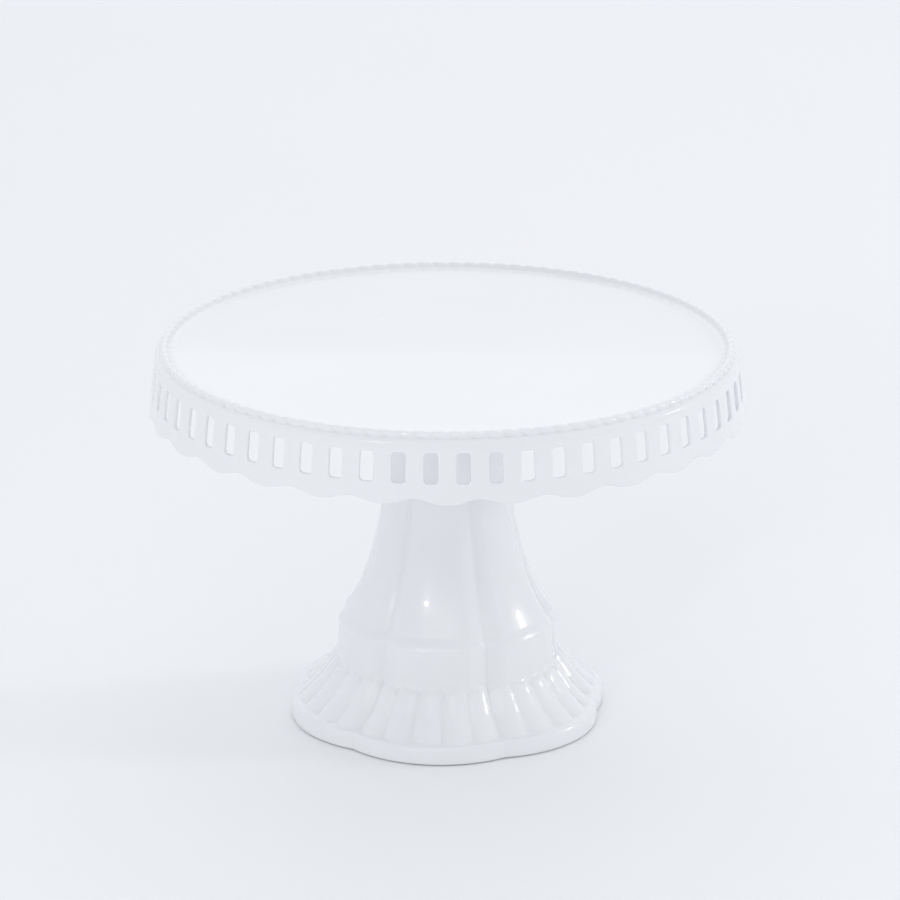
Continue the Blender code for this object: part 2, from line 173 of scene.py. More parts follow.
class Skin:
    """Collects rings of points and the faces between them for one mesh."""

    def __init__(self):
        self.points = []
        self.faces = []
        self.count = 0

    def add(self, points):
        points = np.asarray(points, dtype=float).reshape(-1, 3)
        start = self.count
        self.points.append(points)
        self.count += len(points)
        return np.arange(start, self.count)

    def quads(self, a, b, c, d):
        self.faces.extend(np.stack([a, b, c, d], axis=1).tolist())

    def band(self, first, second):
        """Faces between two closed rings; one may have three times the other's points."""
        if len(first) == len(second):
            self.quads(first, second, np.roll(second, -1), np.roll(first, -1))
            return
        if len(first) < len(second):
            first, second = second, first
        fine = first.reshape(-1, 3)
        after = np.roll(fine[:, 0], -1)
        following = np.roll(second, -1)
        self.faces.extend(np.stack([second, fine[:, 0], fine[:, 1]], axis=1).tolist())
        self.quads(second, fine[:, 1], fine[:, 2], following)
        self.faces.extend(np.stack([following, fine[:, 2], after], axis=1).tolist())

    def stack(self, rings):
        for first, second in zip(rings, rings[1:]):
            self.band(first, second)

    def cap(self, ring, height):
        middle = self.add([(0.0, 0.0, height)])[0]
        after = np.roll(ring, -1)
        self.faces.extend([[middle, int(a), int(b)] for a, b in zip(ring, after)])


def polar(angle, radius, height):
    """Points at angles in degrees; the arguments broadcast against each other."""
    angle, radius, height = np.broadcast_arrays(angle, radius, height)
    turn = np.radians(angle)
    return np.stack([radius * np.sin(turn), -radius * np.cos(turn), height], axis=-1)


def circle(count, start=0.0):
    return start + np.arange(count) * 360.0 / count


def skin_mesh(name, skin):
    mesh = bpy.data.meshes.new(name)
    mesh.from_pydata(np.concatenate(skin.points).tolist(), [], skin.faces)
    tidy = bmesh.new()
    tidy.from_mesh(mesh)
    bmesh.ops.recalc_face_normals(tidy, faces=tidy.faces)
    tidy.to_mesh(mesh)
    tidy.free()
    return mesh


def carve(mesh, cutter):
    """Mesh with the cutter's volume taken out."""
    items = [bpy.data.objects.new("carving", data) for data in (mesh, cutter)]
    for item in items:
        bpy.context.scene.collection.objects.link(item)
    boolean = items[0].modifiers.new("carve", "BOOLEAN")
    boolean.operation = "DIFFERENCE"
    boolean.solver = "EXACT"
    boolean.object = items[1]
    shaped = items[0].evaluated_get(bpy.context.evaluated_depsgraph_get())
    carved = bpy.data.meshes.new_from_object(shaped)
    for item in items:
        bpy.data.objects.remove(item)
    return carved


def make_piece(name, skin, material, body, node, sharp_angle=50.0, cutter=None):
    """Turn a skin into a mesh object that stands for a CAD node."""
    mesh = skin_mesh(name, skin)
    if cutter is not None:
        mesh = carve(mesh, skin_mesh("cutter", cutter))
    mesh.shade_smooth()
    mesh.set_sharp_from_angle(angle=math.radians(sharp_angle))
    mesh.materials.append(material)
    piece = bpy.data.objects.new(name, mesh)
    bpy.context.scene.collection.objects.link(piece)
    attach(piece, body)
    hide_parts(node)
    return piece


def smoothstep(value):
    value = np.clip(value, 0.0, 1.0)
    return value * value * (3.0 - 2.0 * value)


def soft_profile(points, height, softness):
    """Read a turned profile with its corners rounded over a window of the given half-width."""
    heights, radii = np.array(points).T
    offsets = np.linspace(-1.0, 1.0, 9)
    weights = 1.0 - np.abs(offsets) * 0.8
    height, softness = np.broadcast_arrays(np.asarray(height, float), softness)
    samples = [np.interp(height + softness * offset, heights, radii) for offset in offsets]
    return np.tensordot(weights / weights.sum(), np.array(samples), axes=1)


# The plate

def rope_point(angle, turn):
    """Point on the twisted rope bead: turn is 0 on the outer side and 90 on top."""
    phase = angle * ROPE_STRANDS / 360.0 + ROPE_TWIST * (turn - 90.0) / 180.0
    from_crest = np.abs(2.0 * (phase % 1.0) - 1.0)
    bulge = 1.0 - from_crest ** 2.4
    radius = ROPE_RADIUS * (1.0 - ROPE_GROOVE * (1.0 - bulge))
    turn = math.radians(turn)
    centre_z = PLATE_TOP - ROPE_RADIUS
    if turn < 0.0:
        return ROPE_CIRCLE + radius, centre_z + ROPE_RADIUS * turn
    return ROPE_CIRCLE + radius * math.cos(turn), centre_z + radius * math.sin(turn)


def hem_height(angle):
    wave = np.abs(np.sin(np.radians(angle * SCALLOP_COUNT / 2.0)))
    return HEM_Z + SCALLOP_HEIGHT * wave ** SCALLOP_POWER


def skirt_radius(height):
    share = (LEDGE_Z - height) / (LEDGE_Z - HEM_Z)
    return LEDGE_RADIUS + share * (HEM_RADIUS - LEDGE_RADIUS)


def top_rings(skin, angles):
    """The cake surface, the fillet, the rope and the ledge, from the axis outwards."""
    third = angles[::3]
    ninth = angles[::9]
    fillet_start = ROPE_CIRCLE + ROPE_RADIUS - RIM_FILLET_START
    rings = [skin.add(polar(ninth, fillet_start * share, SURFACE_Z)) for share in (0.12, 0.35, 0.6)]
    rings += [skin.add(polar(third, fillet_start * share, SURFACE_Z)) for share in (0.75, 0.88)]
    rings += [skin.add(polar(angles, fillet_start * share, SURFACE_Z)) for share in (0.95, 0.985)]
    inner_radius, inner_z = rope_point(angles, ROPE_START)
    for share in np.linspace(0.0, 1.0, 9)[:-1]:
        radius = fillet_start + (inner_radius - fillet_start) * share
        height = SURFACE_Z + (inner_z - SURFACE_Z) * share ** RIM_FILLET_POWER
        rings.append(skin.add(polar(angles, radius, height)))
    for turn in np.linspace(ROPE_START, ROPE_END, ROPE_ROWS):
        radius, height = rope_point(angles, turn)
        rings.append(skin.add(polar(angles, radius, height)))
    rope_side = ROPE_CIRCLE + ROPE_RADIUS
    ledge = (
        (rope_side + 0.12 * MM, LEDGE_Z + LEDGE_RISE - 0.1 * MM),
        (rope_side + 0.4 * MM, LEDGE_Z + LEDGE_RISE * 0.8),
        (LEDGE_RADIUS - 0.8 * MM, LEDGE_Z + LEDGE_RISE * 0.3),
        (LEDGE_RADIUS - 0.35 * MM, LEDGE_Z + 0.02 * MM),
        (LEDGE_RADIUS - 0.08 * MM, LEDGE_Z - 0.36 * MM),
        (skirt_radius(LEDGE_Z - 0.8 * MM), LEDGE_Z - 0.8 * MM),
    )
    rings += [skin.add(polar(angles, radius, height)) for radius, height in ledge]
    return rings


def slot_outline(grow):
    """Rounded slot outline grown by an offset, as (across, up) points matched to the cell's edge."""
    half_width = SLOT_HALF_WIDTH + grow
    half_height = SLOT_HALF_HEIGHT + grow
    corner = SLOT_CORNER + grow
    quarter = corner * math.pi / 4.0
    flat_top = half_width - corner
    flat_side = half_height - corner

    def quarter_path(flat, steps):
        """Distances along one side, from the middle of one corner to the middle of the next."""
        return np.linspace(-(flat + quarter), flat + quarter, steps + 1)

    def bend(distance, flat, height):
        beyond = np.clip((np.abs(distance) - flat) / corner, 0.0, None)
        along = np.sign(distance) * (np.minimum(np.abs(distance), flat) + corner * np.sin(beyond))
        return along, height - corner * (1.0 - np.cos(beyond))

    along, up = bend(quarter_path(flat_top, CELL_COLUMNS), flat_top, half_height)
    rise, out = bend(quarter_path(flat_side, CELL_ROWS), flat_side, half_width)
    top = np.stack([along, up], axis=1)[:-1]
    right = np.stack([out, -rise], axis=1)[:-1]
    return np.concatenate([top, right, -top, -right])


def cell_outline():
    """Edge of one slot's cell: (degrees across, up), clockwise from its top left corner."""
    half_cell = 180.0 / SLOT_COUNT
    across = np.linspace(-half_cell, half_cell, CELL_COLUMNS + 1)[:-1]
    down = np.linspace(CELL_HALF_HEIGHT, -CELL_HALF_HEIGHT, CELL_ROWS + 1)[:-1]
    top = np.stack([across, np.full_like(across, CELL_HALF_HEIGHT)], axis=1)
    right = np.stack([np.full_like(down, half_cell), down], axis=1)
    return np.concatenate([top, right, -top, -right])


def skirt_cells(skin, angles):
    """Skirt wall between two levels with a slot through every cell.

    Returns the top and bottom edge rings of the outer face, then of the inner face.
    """
    edge = cell_outline()
    mid_radius = skirt_radius(SLOT_Z)

    def in_degrees(outline):
        return np.stack([np.degrees(outline[:, 0] / mid_radius), outline[:, 1]], axis=1)

    mouth = in_degrees(slot_outline(SLOT_EDGE))
    loops = [(edge * (1.0 - share) + mouth * share, 0.0) for share in (0.35, 0.68, 0.9, 1.0)]
    for turn in np.radians(np.array([30.0, 60.0, 90.0])):
        grow = SLOT_EDGE * (1.0 - math.sin(turn))
        loops.append((in_degrees(slot_outline(grow)), SLOT_EDGE * (1.0 - math.cos(turn))))
    inward = [(points, SKIRT_THICKNESS - depth) for points, depth in reversed(loops)]
    rows = np.linspace(SLOT_Z + CELL_HALF_HEIGHT, SLOT_Z - CELL_HALF_HEIGHT, CELL_ROWS + 1)
    borders = []
    for depth in (0.0, SKIRT_THICKNESS):
        ring_top = skin.add(polar(angles, skirt_radius(rows[0]) - depth, rows[0]))
        ring_bottom = skin.add(polar(angles, skirt_radius(rows[-1]) - depth, rows[-1]))
        posts = [skin.add(polar(angles[::CELL_COLUMNS], skirt_radius(row) - depth, row))
                 for row in rows[1:-1]]
        borders.append((ring_top, ring_bottom, np.array(posts)))
    for cell in range(SLOT_COUNT):
        middle = (cell + 0.5) * 360.0 / SLOT_COUNT
        chain = [cell_border(borders[0], cell)]
        for points, depth in loops + inward:
            radius = skirt_radius(SLOT_Z + points[:, 1]) - depth
            chain.append(skin.add(polar(middle + points[:, 0], radius, SLOT_Z + points[:, 1])))
        chain.append(cell_border(borders[1], cell))
        skin.stack(chain)
    return borders[0][0], borders[0][1], borders[1][0], borders[1][1]


def cell_border(border, cell):
    """Indices round one cell, clockwise from its top left corner."""
    ring_top, ring_bottom, posts = border
    first = cell * CELL_COLUMNS
    columns = (first + np.arange(CELL_COLUMNS + 1)) % COLUMNS
    after = (cell + 1) % SLOT_COUNT
    right = np.concatenate([[ring_top[columns[-1]]], posts[:, after]])
    left = np.concatenate([[ring_bottom[columns[0]]], posts[::-1, cell]])
    return np.concatenate([ring_top[columns[:-1]], right, ring_bottom[columns[:0:-1]], left])


def hem_rings(skin, angles):
    """From the bottom of the outer cells round the scalloped edge to the inner cells."""
    start = SLOT_Z - CELL_HALF_HEIGHT
    hem = hem_height(angles)
    rings = []
    shares = np.linspace(0.0, 1.0, 7)[1:]
    for share in shares:
        height = start + (hem + HEM_EDGE - start) * share
        rings.append(skin.add(polar(angles, skirt_radius(height), height)))
    edge = np.radians(np.array([30.0, 60.0, 90.0]))
    for turn in edge:
        depth = HEM_EDGE * (1.0 - math.cos(turn))
        height = hem + HEM_EDGE * (1.0 - math.sin(turn))
        rings.append(skin.add(polar(angles, skirt_radius(height) - depth, height)))
    for turn in edge[::-1]:
        depth = SKIRT_THICKNESS - HEM_EDGE * (1.0 - math.cos(turn))
        height = hem + HEM_EDGE * (1.0 - math.sin(turn))
        rings.append(skin.add(polar(angles, skirt_radius(height) - depth, height)))
    for share in shares[::-1]:
        height = start + (hem + HEM_EDGE - start) * share
        rings.append(skin.add(polar(angles, skirt_radius(height) - SKIRT_THICKNESS, height)))
    return rings


def underside_rings(skin, angles):
    """From the inner top of the skirt across the underside to the bore in the boss."""
    third = angles[::3]
    ninth = angles[::9]
    inner = skirt_radius(UNDERSIDE_Z) - SKIRT_THICKNESS
    fillet = 1.6 * MM
    rings = []
    for turn in np.radians(np.array([0.0, 22.5, 45.0, 67.5, 90.0])):
        radius = inner - fillet * (1.0 - math.cos(turn))
        height = UNDERSIDE_Z - fillet * (1.0 - math.sin(turn))
        rings.append(skin.add(polar(angles, radius, height)))
    rings.append(skin.add(polar(angles, inner * 0.96, UNDERSIDE_Z)))
    rings += [skin.add(polar(third, radius, UNDERSIDE_Z)) for radius in (inner * 0.85, inner * 0.55)]
    low = UNDERSIDE_Z - COLLAR_DEPTH
    edge = 0.5 * MM
    collar = (
        (COLLAR_OUTER + 1.0 * MM, UNDERSIDE_Z),
        (COLLAR_OUTER + 0.3 * MM, UNDERSIDE_Z - 0.3 * MM),
        (COLLAR_OUTER, UNDERSIDE_Z - 1.0 * MM),
        (COLLAR_OUTER, low + edge),
        (COLLAR_OUTER - edge * 0.3, low + edge * 0.3),
        (COLLAR_OUTER - edge, low),
        (COLLAR_INNER + edge, low),
        (COLLAR_INNER + edge * 0.3, low + edge * 0.3),
        (COLLAR_INNER, low + edge),
        (COLLAR_INNER, UNDERSIDE_Z - 0.6 * MM),
        (COLLAR_INNER - 0.6 * MM, UNDERSIDE_Z),
    )
    rings += [skin.add(polar(third, radius, height)) for radius, height in collar]
    end = UNDERSIDE_Z - BOSS_DEPTH
    boss = (
        (BOSS_RADIUS + 1.6 * MM, UNDERSIDE_Z),
        (BOSS_RADIUS + 0.5 * MM, UNDERSIDE_Z - 0.5 * MM),
        (BOSS_RADIUS, UNDERSIDE_Z - 1.6 * MM),
        (BOSS_RADIUS, end + 0.8 * MM),
        (BOSS_RADIUS - 0.25 * MM, end + 0.25 * MM),
        (BOSS_RADIUS - 0.8 * MM, end),
        (INSERT_BORE + 0.3 * MM, end),
        (INSERT_BORE, end + 0.3 * MM),
        (INSERT_BORE, end + INSERT_BORE_DEPTH),
    )
    rings += [skin.add(polar(ninth, radius, height)) for radius, height in boss]
    return rings


def plate_piece(material):
    skin = Skin()
    angles = circle(COLUMNS)
    top = top_rings(skin, angles)
    outer_top, outer_bottom, inner_top, inner_bottom = skirt_cells(skin, angles)
    hem = hem_rings(skin, angles)
    under = underside_rings(skin, angles)
    skin.stack(top + [outer_top])
    skin.stack([outer_bottom] + hem + [inner_bottom])
    skin.stack([inner_top] + under)
    skin.cap(top[0], SURFACE_Z)
    skin.cap(under[-1], UNDERSIDE_Z - BOSS_DEPTH + INSERT_BORE_DEPTH)
    return make_piece("cake_plate", skin, material, "plate", "plate")


# The pedestal

def lobe_angle(angle):
    """Degrees from the middle of the nearest lobe."""
    return (angle - CREASE_ANGLE) % LOBE_STEP - LOBE_STEP / 2.0


def foot_outline(angle):
    """Foot radius: six circular arcs that meet in a cusp at each crease."""
    turn = np.radians(lobe_angle(angle))
    arc_radius = FOOT_RADIUS - FOOT_ARC_OFFSET
    reach = np.sqrt(arc_radius ** 2 - (FOOT_ARC_OFFSET * np.sin(turn)) ** 2)
    return FOOT_ARC_OFFSET * np.cos(turn) + reach


def lobe_shape(angle):
    """Share of the lobe radius: 1 across the face, falling into a soft V at each crease."""
    from_crease = LOBE_STEP / 2.0 - np.abs(lobe_angle(angle))
    from_crease = np.sqrt(from_crease ** 2 + CREASE_FILLET ** 2)
    from_crease = np.clip(from_crease / CREASE_HALF_WIDTH, 0.0, 1.0)
    return 1.0 - CREASE_DEPTH * (1.0 - from_crease) ** CREASE_POWER


def pleat_offset(angle):
    """0 on a pleat's crest and 1 in the notch between two pleats."""
    phase = ((angle - CREASE_ANGLE) % PLEAT_STEP) / PLEAT_STEP
    return np.abs(2.0 * phase - 1.0) ** PLEAT_POWER


def pedestal_radius(angle, height):
    """Outer face above the foot band."""
    height_mm = height / MM
    softness = 0.7 + 7.0 * smoothstep((height_mm - 60.0) / 20.0)
    body = soft_profile(BODY, height_mm, softness)
    pleated = soft_profile(PLEAT_CREST, height_mm + PLEAT_SAG * pleat_offset(angle), PLEAT_SOFTNESS)
    radius = np.where(height_mm < PLEAT_TOP, pleated, body)
    blend = smoothstep((height_mm - 8.0) / 16.0)
    foot_share = foot_outline(angle) / FOOT_RADIUS
    share = foot_share + blend * (lobe_shape(angle) - foot_share)
    round_share = smoothstep((height - NECK_BLEND_START) / (SPIGOT_START - NECK_BLEND_START))
    lobed = radius * MM * share
    return lobed + round_share * (SPIGOT_RADIUS - lobed)


def inside_radius(angle, height):
    return soft_profile(INSIDE, height / MM, INSIDE_SOFTNESS) * MM * lobe_shape(angle)


def pedestal_heights():
    """Close rows over the pleats and the shoulder, wide ones up the neck."""
    return np.concatenate([
        np.arange(9.7, 35.0, 0.55),
        np.arange(35.5, 49.0, 2.2),
        np.arange(49.5, 60.0, 0.6),
        np.arange(61.0, 92.0, 2.0),
        np.arange(94.0, 176.0, 4.0),
    ]) * MM


def pedestal_piece(material):
    skin = Skin()
    angles = circle(PEDESTAL_COLUMNS, CREASE_ANGLE)
    inner_angles = circle(INSIDE_COLUMNS, CREASE_ANGLE)
    foot = foot_outline(angles)
    low = PEDESTAL_LOW[2]
    foot_band = ((0.7, 0.0), (0.35, 0.04), (0.1, 0.2), (0.0, 0.5), (0.0, 2.4), (0.25, 6.6),
                 (0.45, 7.4), (0.8, 8.1), (1.3, 8.6), (2.0, 8.9), (2.8, 8.98))
    rings = [skin.add(polar(angles, foot - inset * MM, low + rise * MM)) for inset, rise in foot_band]
    for height in pedestal_heights():
        rings.append(skin.add(polar(angles, pedestal_radius(angles, height), height)))
    top = PEDESTAL_HIGH[2]
    edge = 0.6 * MM
    spigot = (
        (SPIGOT_RADIUS, SPIGOT_START),
        (SPIGOT_RADIUS, top - edge),
        (SPIGOT_RADIUS - edge * 0.3, top - edge * 0.3),
        (SPIGOT_RADIUS - edge, top),
    )
    rings += [skin.add(polar(angles, radius, height)) for radius, height in spigot]
    wall = SPIGOT_RADIUS - SPIGOT_WALL
    cup = (
        (wall + edge, top),
        (wall, top - edge),
        (wall - 2.6 * MM, DECK_TOP + 1.0 * MM),
        (wall - 3.4 * MM, DECK_TOP),
    )
    rings += [skin.add(polar(inner_angles, radius, height)) for radius, height in cup]
    deck_low = DECK_TOP - DECK_THICKNESS
    hole = ((14.0 * MM, DECK_TOP), (SCREW_HOLE + 0.3 * MM, DECK_TOP), (SCREW_HOLE, DECK_TOP - 0.3 * MM),
            (SCREW_HOLE, deck_low + 0.3 * MM), (SCREW_HOLE + 0.3 * MM, deck_low), (14.0 * MM, deck_low))
    rings += [skin.add(polar(inner_angles, radius, height)) for radius, height in hole]
    fillet = 2.0 * MM
    neck = inside_radius(inner_angles, deck_low)
    for turn in np.radians(np.array([90.0, 60.0, 30.0, 0.0])):
        radius = neck - fillet * (1.0 - math.cos(turn))
        rings.append(skin.add(polar(inner_angles, radius, deck_low - fillet * (1.0 - math.sin(turn)))))
    inner_heights = np.concatenate([np.arange(165.0, 70.0, -6.0), np.arange(68.0, 9.0, -2.0)]) * MM
    for height in inner_heights:
        rings.append(skin.add(polar(inner_angles, inside_radius(inner_angles, height), height)))
    inner_foot = foot_outline(inner_angles) - FOOT_RIM_WIDTH
    rings.append(skin.add(polar(inner_angles, inner_foot, low + 7.4 * MM)))
    rings.append(skin.add(polar(inner_angles, inner_foot, low + 0.6 * MM)))
    rings.append(skin.add(polar(inner_angles, inner_foot + 0.6 * MM, low)))
    skin.stack(rings + rings[:1])
    return make_piece("pedestal_shell", skin, material, "stand", "pedestal",
                      cutter=pad_pockets())


def pad_centre(index):
    low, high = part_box(f"foot_pad_{index + 1}")
    return (low[0] + high[0]) / 2.0, (low[1] + high[1]) / 2.0, low[2], high


def pad_pockets():
    """Shallow round pockets in the foot, one for each pad."""
    skin = Skin()
    angles = circle(48)
    for index in range(PAD_COUNT):
        x, y, low, high = pad_centre(index)
        radius = high[0] - x + PAD_GAP
        centre = np.array([x, y, 0.0])
        depth = high[2] + 0.3 * MM
        rings = [skin.add(polar(angles, radius, height) + centre) for height in (low - 1.0 * MM, depth)]
        skin.stack(rings)
        skin.faces.append(rings[0].tolist())
        skin.faces.append(rings[1].tolist())
    return skin


# Fasteners and pads

def hexagon(angle, flats):
    """Radius of a hexagon, given across its flats, with a corner at the front."""
    return flats / 2.0 / np.cos(np.radians(angle % 60.0 - 30.0))


def thread_ridge(angle, height):
    """1 on the crest of a right-handed thread and 0 at its root."""
    phase = (height / THREAD_PITCH - angle / 360.0) % 1.0
    return np.clip(1.35 * (1.0 - np.abs(2.0 * phase - 1.0)) - 0.15, 0.0, 1.0)


def screw_piece(material):
    """Hexagon head with a turned chamfer, plain neck and a cut thread."""
    skin = Skin()
    angles = circle(SCREW_COLUMNS)
    low = SCREW_LOW[2]
    high = SCREW_HIGH[2]
    seat = low + HEX_HEIGHT
    head = hexagon(angles, HEX_FLATS)
    rings = []
    for rise in np.linspace(0.0, 0.6, 6) * MM:
        rings.append(skin.add(polar(angles, np.minimum(head, 4.75 * MM + 1.73 * rise), low + rise)))
    rings.append(skin.add(polar(angles, head, seat - 0.25 * MM)))
    rings.append(skin.add(polar(angles, head - 0.15 * MM, seat)))
    neck = ((3.5, 0.0), (3.15, 0.08), (3.0, 0.35))
    rings += [skin.add(polar(angles, radius * MM, seat + rise * MM)) for radius, rise in neck]
    for height in np.arange(THREAD_START, high - 0.05 * MM, THREAD_PITCH / 10.0):
        cut_depth = smoothstep((height - THREAD_START) / THREAD_PITCH)
        root = SCREW_RADIUS + cut_depth * (THREAD_ROOT - SCREW_RADIUS)
        radius = root + (SCREW_RADIUS - root) * thread_ridge(angles, height)
        tip = THREAD_ROOT - 0.25 * MM + (high - height)
        rings.append(skin.add(polar(angles, np.minimum(radius, tip), height)))
    rings.append(skin.add(polar(angles, THREAD_ROOT - 0.25 * MM, high)))
    skin.stack(rings)
    skin.cap(rings[0], low)
    skin.cap(rings[-1], high)
    return make_piece("hex_screw", skin, material, "screw", "clamp_screw", 35.0)


def knob_outline(angle):
    return KNOB_RADIUS + KNOB_WAVE * np.cos(np.radians(angle * KNOB_GRIPS))


def knob_piece(material):
    """Star knob with a dished end, rounded grips, a hub and the pocket for the screw's head."""
    skin = Skin()
    angles = circle(144)
    outline = knob_outline(angles)
    low = KNOB_LOW[2]
    high = KNOB_HIGH[2]
    grip_top = high - KNOB_HUB_HEIGHT
    dish = ((1.0, 0.7), (2.2, 0.75), (2.7, 1.0), (3.4, 1.3), (6.4, 1.3), (7.6, 1.1),
            (8.4, 0.55), (9.1, 0.12), (9.9, 0.0))
    rings = [skin.add(polar(angles, radius * MM, low + rise * MM)) for radius, rise in dish]
    turns = np.radians(np.linspace(0.0, 90.0, 7))
    for turn in turns:
        inset = KNOB_EDGE * (1.0 - math.sin(turn))
        rings.append(skin.add(polar(angles, outline - inset, low + KNOB_EDGE * (1.0 - math.cos(turn)))))
    for turn in turns[::-1]:
        inset = KNOB_EDGE * (1.0 - math.sin(turn)) + 0.2 * MM
        height = grip_top - KNOB_EDGE * (1.0 - math.cos(turn))
        rings.append(skin.add(polar(angles, outline - inset, height)))
    hub = ((10.6, 0.0), (9.7, 0.12), (9.2, 0.5), (9.0, 1.1), (9.0, 2.4), (8.85, 2.8), (8.4, 3.0))
    rings += [skin.add(polar(angles, radius * MM, grip_top + rise * MM)) for radius, rise in hub]
    pocket = hexagon(angles, HEX_POCKET_FLATS)
    floor = SCREW_LOW[2] - 0.3 * MM
    rings.append(skin.add(polar(angles, pocket + 0.3 * MM, high)))
    rings.append(skin.add(polar(angles, pocket, high - 0.3 * MM)))
    rings.append(skin.add(polar(angles, pocket, floor)))
    skin.stack(rings)
    skin.cap(rings[0], low + 0.7 * MM)
    skin.cap(rings[-1], floor)
    return make_piece("star_knob", skin, material, "screw", "screw_knob", 35.0)


def rounded_section(outer, inner, low, high, outer_edge, inner_edge):
    """Closed (radius, height) section of a flat ring with rounded edges."""
    corners = (
        (outer - outer_edge, low + outer_edge, outer_edge, -90.0),
        (outer - outer_edge, high - outer_edge, outer_edge, 0.0),
        (inner + inner_edge, high - inner_edge, inner_edge, 90.0),
        (inner + inner_edge, low + inner_edge, inner_edge, 180.0),
    )
    section = []
    for radius, height, edge, start in corners:
        for turn in np.radians(start + np.linspace(0.0, 90.0, 5)):
            section.append((radius + edge * math.cos(turn), height + edge * math.sin(turn)))
    return section


def ring_piece(name, material, body, node, hole, outer_edge, inner_edge):
    """Washer or gasket that fills its CAD node's box."""
    low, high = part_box(node)
    skin = Skin()
    angles = circle(120)
    section = rounded_section(high[0], hole, low[2], high[2], outer_edge, inner_edge)
    rings = [skin.add(polar(angles, radius, height)) for radius, height in section]
    skin.stack(rings + rings[:1])
    return make_piece(name, skin, material, body, node)


def insert_piece(material):
    """Knurled brass insert with a groove round its middle and a threaded bore."""
    low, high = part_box("threaded_insert")
    skin = Skin()
    angles = circle(108)
    outer = high[0]
    low = low[2]
    high = high[2]
    middle = (low + high) / 2.0
    rings = [skin.add(polar(angles, outer - 0.5 * MM, low))]
    for height in np.linspace(low + 0.35 * MM, high - 0.35 * MM, 40):
        lean = 0.5 * (height - middle) / MM
        tooth = np.abs(np.sin(np.radians(angles * KNURL_TEETH / 2.0 + 8.0 * abs(lean))))
        groove = math.exp(-((height - middle) / (0.6 * MM)) ** 4)
        radius = outer - 0.18 * MM * (1.0 - tooth) - 0.35 * MM * groove * tooth
        rings.append(skin.add(polar(angles, radius, height)))
    rings.append(skin.add(polar(angles, outer - 0.5 * MM, high)))
    rings.append(skin.add(polar(angles, INSERT_INNER + 0.25 * MM, high)))
    for height in np.arange(high - 0.25 * MM, low + 0.2 * MM, -THREAD_PITCH / 8.0):
        ridge = thread_ridge(angles, height + THREAD_PITCH / 2.0)
        rings.append(skin.add(polar(angles, INSERT_INNER - 0.2 * MM * ridge, height)))
    rings.append(skin.add(polar(angles, INSERT_INNER + 0.25 * MM, low)))
    skin.stack(rings + rings[:1])
    return make_piece("brass_insert", skin, material, "plate", "threaded_insert", 35.0)


def pad_pieces(material):
    """Small round rubber pads with a soft lower edge and a dimple in the middle."""
    angles = circle(48)
    for index in range(PAD_COUNT):
        x, y, low, high = pad_centre(index)
        centre = np.array([x, y, 0.0])
        radius = high[0] - x
        top = high[2]
        section = (
            (radius - 2.2 * MM, low + 0.25 * MM),
            (radius - 1.7 * MM, low + 0.06 * MM),
            (radius - 1.3 * MM, low),
            (radius - 0.5 * MM, low),
            (radius - 0.2 * MM, low + 0.07 * MM),
            (radius - 0.04 * MM, low + 0.22 * MM),
            (radius, low + 0.5 * MM),
            (radius, top - 0.3 * MM),
            (radius - 0.25 * MM, top),
        )
        skin = Skin()
        rings = [skin.add(polar(angles, reach, height) + centre) for reach, height in section]
        skin.stack(rings)
        skin.faces.append(rings[0].tolist())
        skin.faces.append(rings[-1].tolist())
        make_piece(f"pad_{index + 1}", skin, material, "stand", f"foot_pad_{index + 1}")


# Materials

def new_material(name, roughness=0.4, metallic=0.0):
    material = bpy.data.materials.new(name)
    material.use_nodes = True
    shader = material.node_tree.nodes["Principled BSDF"]
    shader.inputs["Roughness"].default_value = roughness
    shader.inputs["Metallic"].default_value = metallic
    return material, material.node_tree, shader


def position(tree):
    return tree.nodes.new("ShaderNodeTexCoord").outputs["Object"]


def noise(tree, vector, scale, detail=2.0, roughness=0.5):
    node = tree.nodes.new("ShaderNodeTexNoise")
    node.inputs["Scale"].default_value = scale
    node.inputs["Detail"].default_value = detail
    node.inputs["Roughness"].default_value = roughness
    tree.links.new(vector, node.inputs["Vector"])
    return node.outputs["Fac"]


def stretched(tree, vector, scale):
    node = tree.nodes.new("ShaderNodeMapping")
    node.inputs["Scale"].default_value = scale
    tree.links.new(vector, node.inputs["Vector"])
    return node.outputs["Vector"]


def remap(tree, value, low, high, to_low, to_high):
    node = tree.nodes.new("ShaderNodeMapRange")
    sockets = ("From Min", "From Max", "To Min", "To Max")
    for socket, number in zip(sockets, (low, high, to_low, to_high)):
        node.inputs[socket].default_value = number
    tree.links.new(value, node.inputs["Value"])
    return node.outputs["Result"]


def mix_colour(tree, factor, first, second):
    node = tree.nodes.new("ShaderNodeMix")
    node.data_type = "RGBA"
    tree.links.new(factor, node.inputs["Factor"])
    for socket, colour in ((node.inputs[6], first), (node.inputs[7], second)):
        if isinstance(colour, tuple):
            socket.default_value = (*colour, 1.0)
        else:
            tree.links.new(colour, socket)
    return node.outputs[2]


def combine(tree, operation, first, second):
    node = tree.nodes.new("ShaderNodeMath")
    node.operation = operation
    for socket, value in zip(node.inputs, (first, second)):
        if isinstance(value, (int, float)):
            socket.default_value = value
        else:
            tree.links.new(value, socket)
    return node.outputs["Value"]


def bump(tree, height, distance, strength=1.0, below=None):
    node = tree.nodes.new("ShaderNodeBump")
    node.inputs["Distance"].default_value = distance
    node.inputs["Strength"].default_value = strength
    tree.links.new(height, node.inputs["Height"])
    if below is not None:
        tree.links.new(below, node.inputs["Normal"])
    return node.outputs["Normal"]


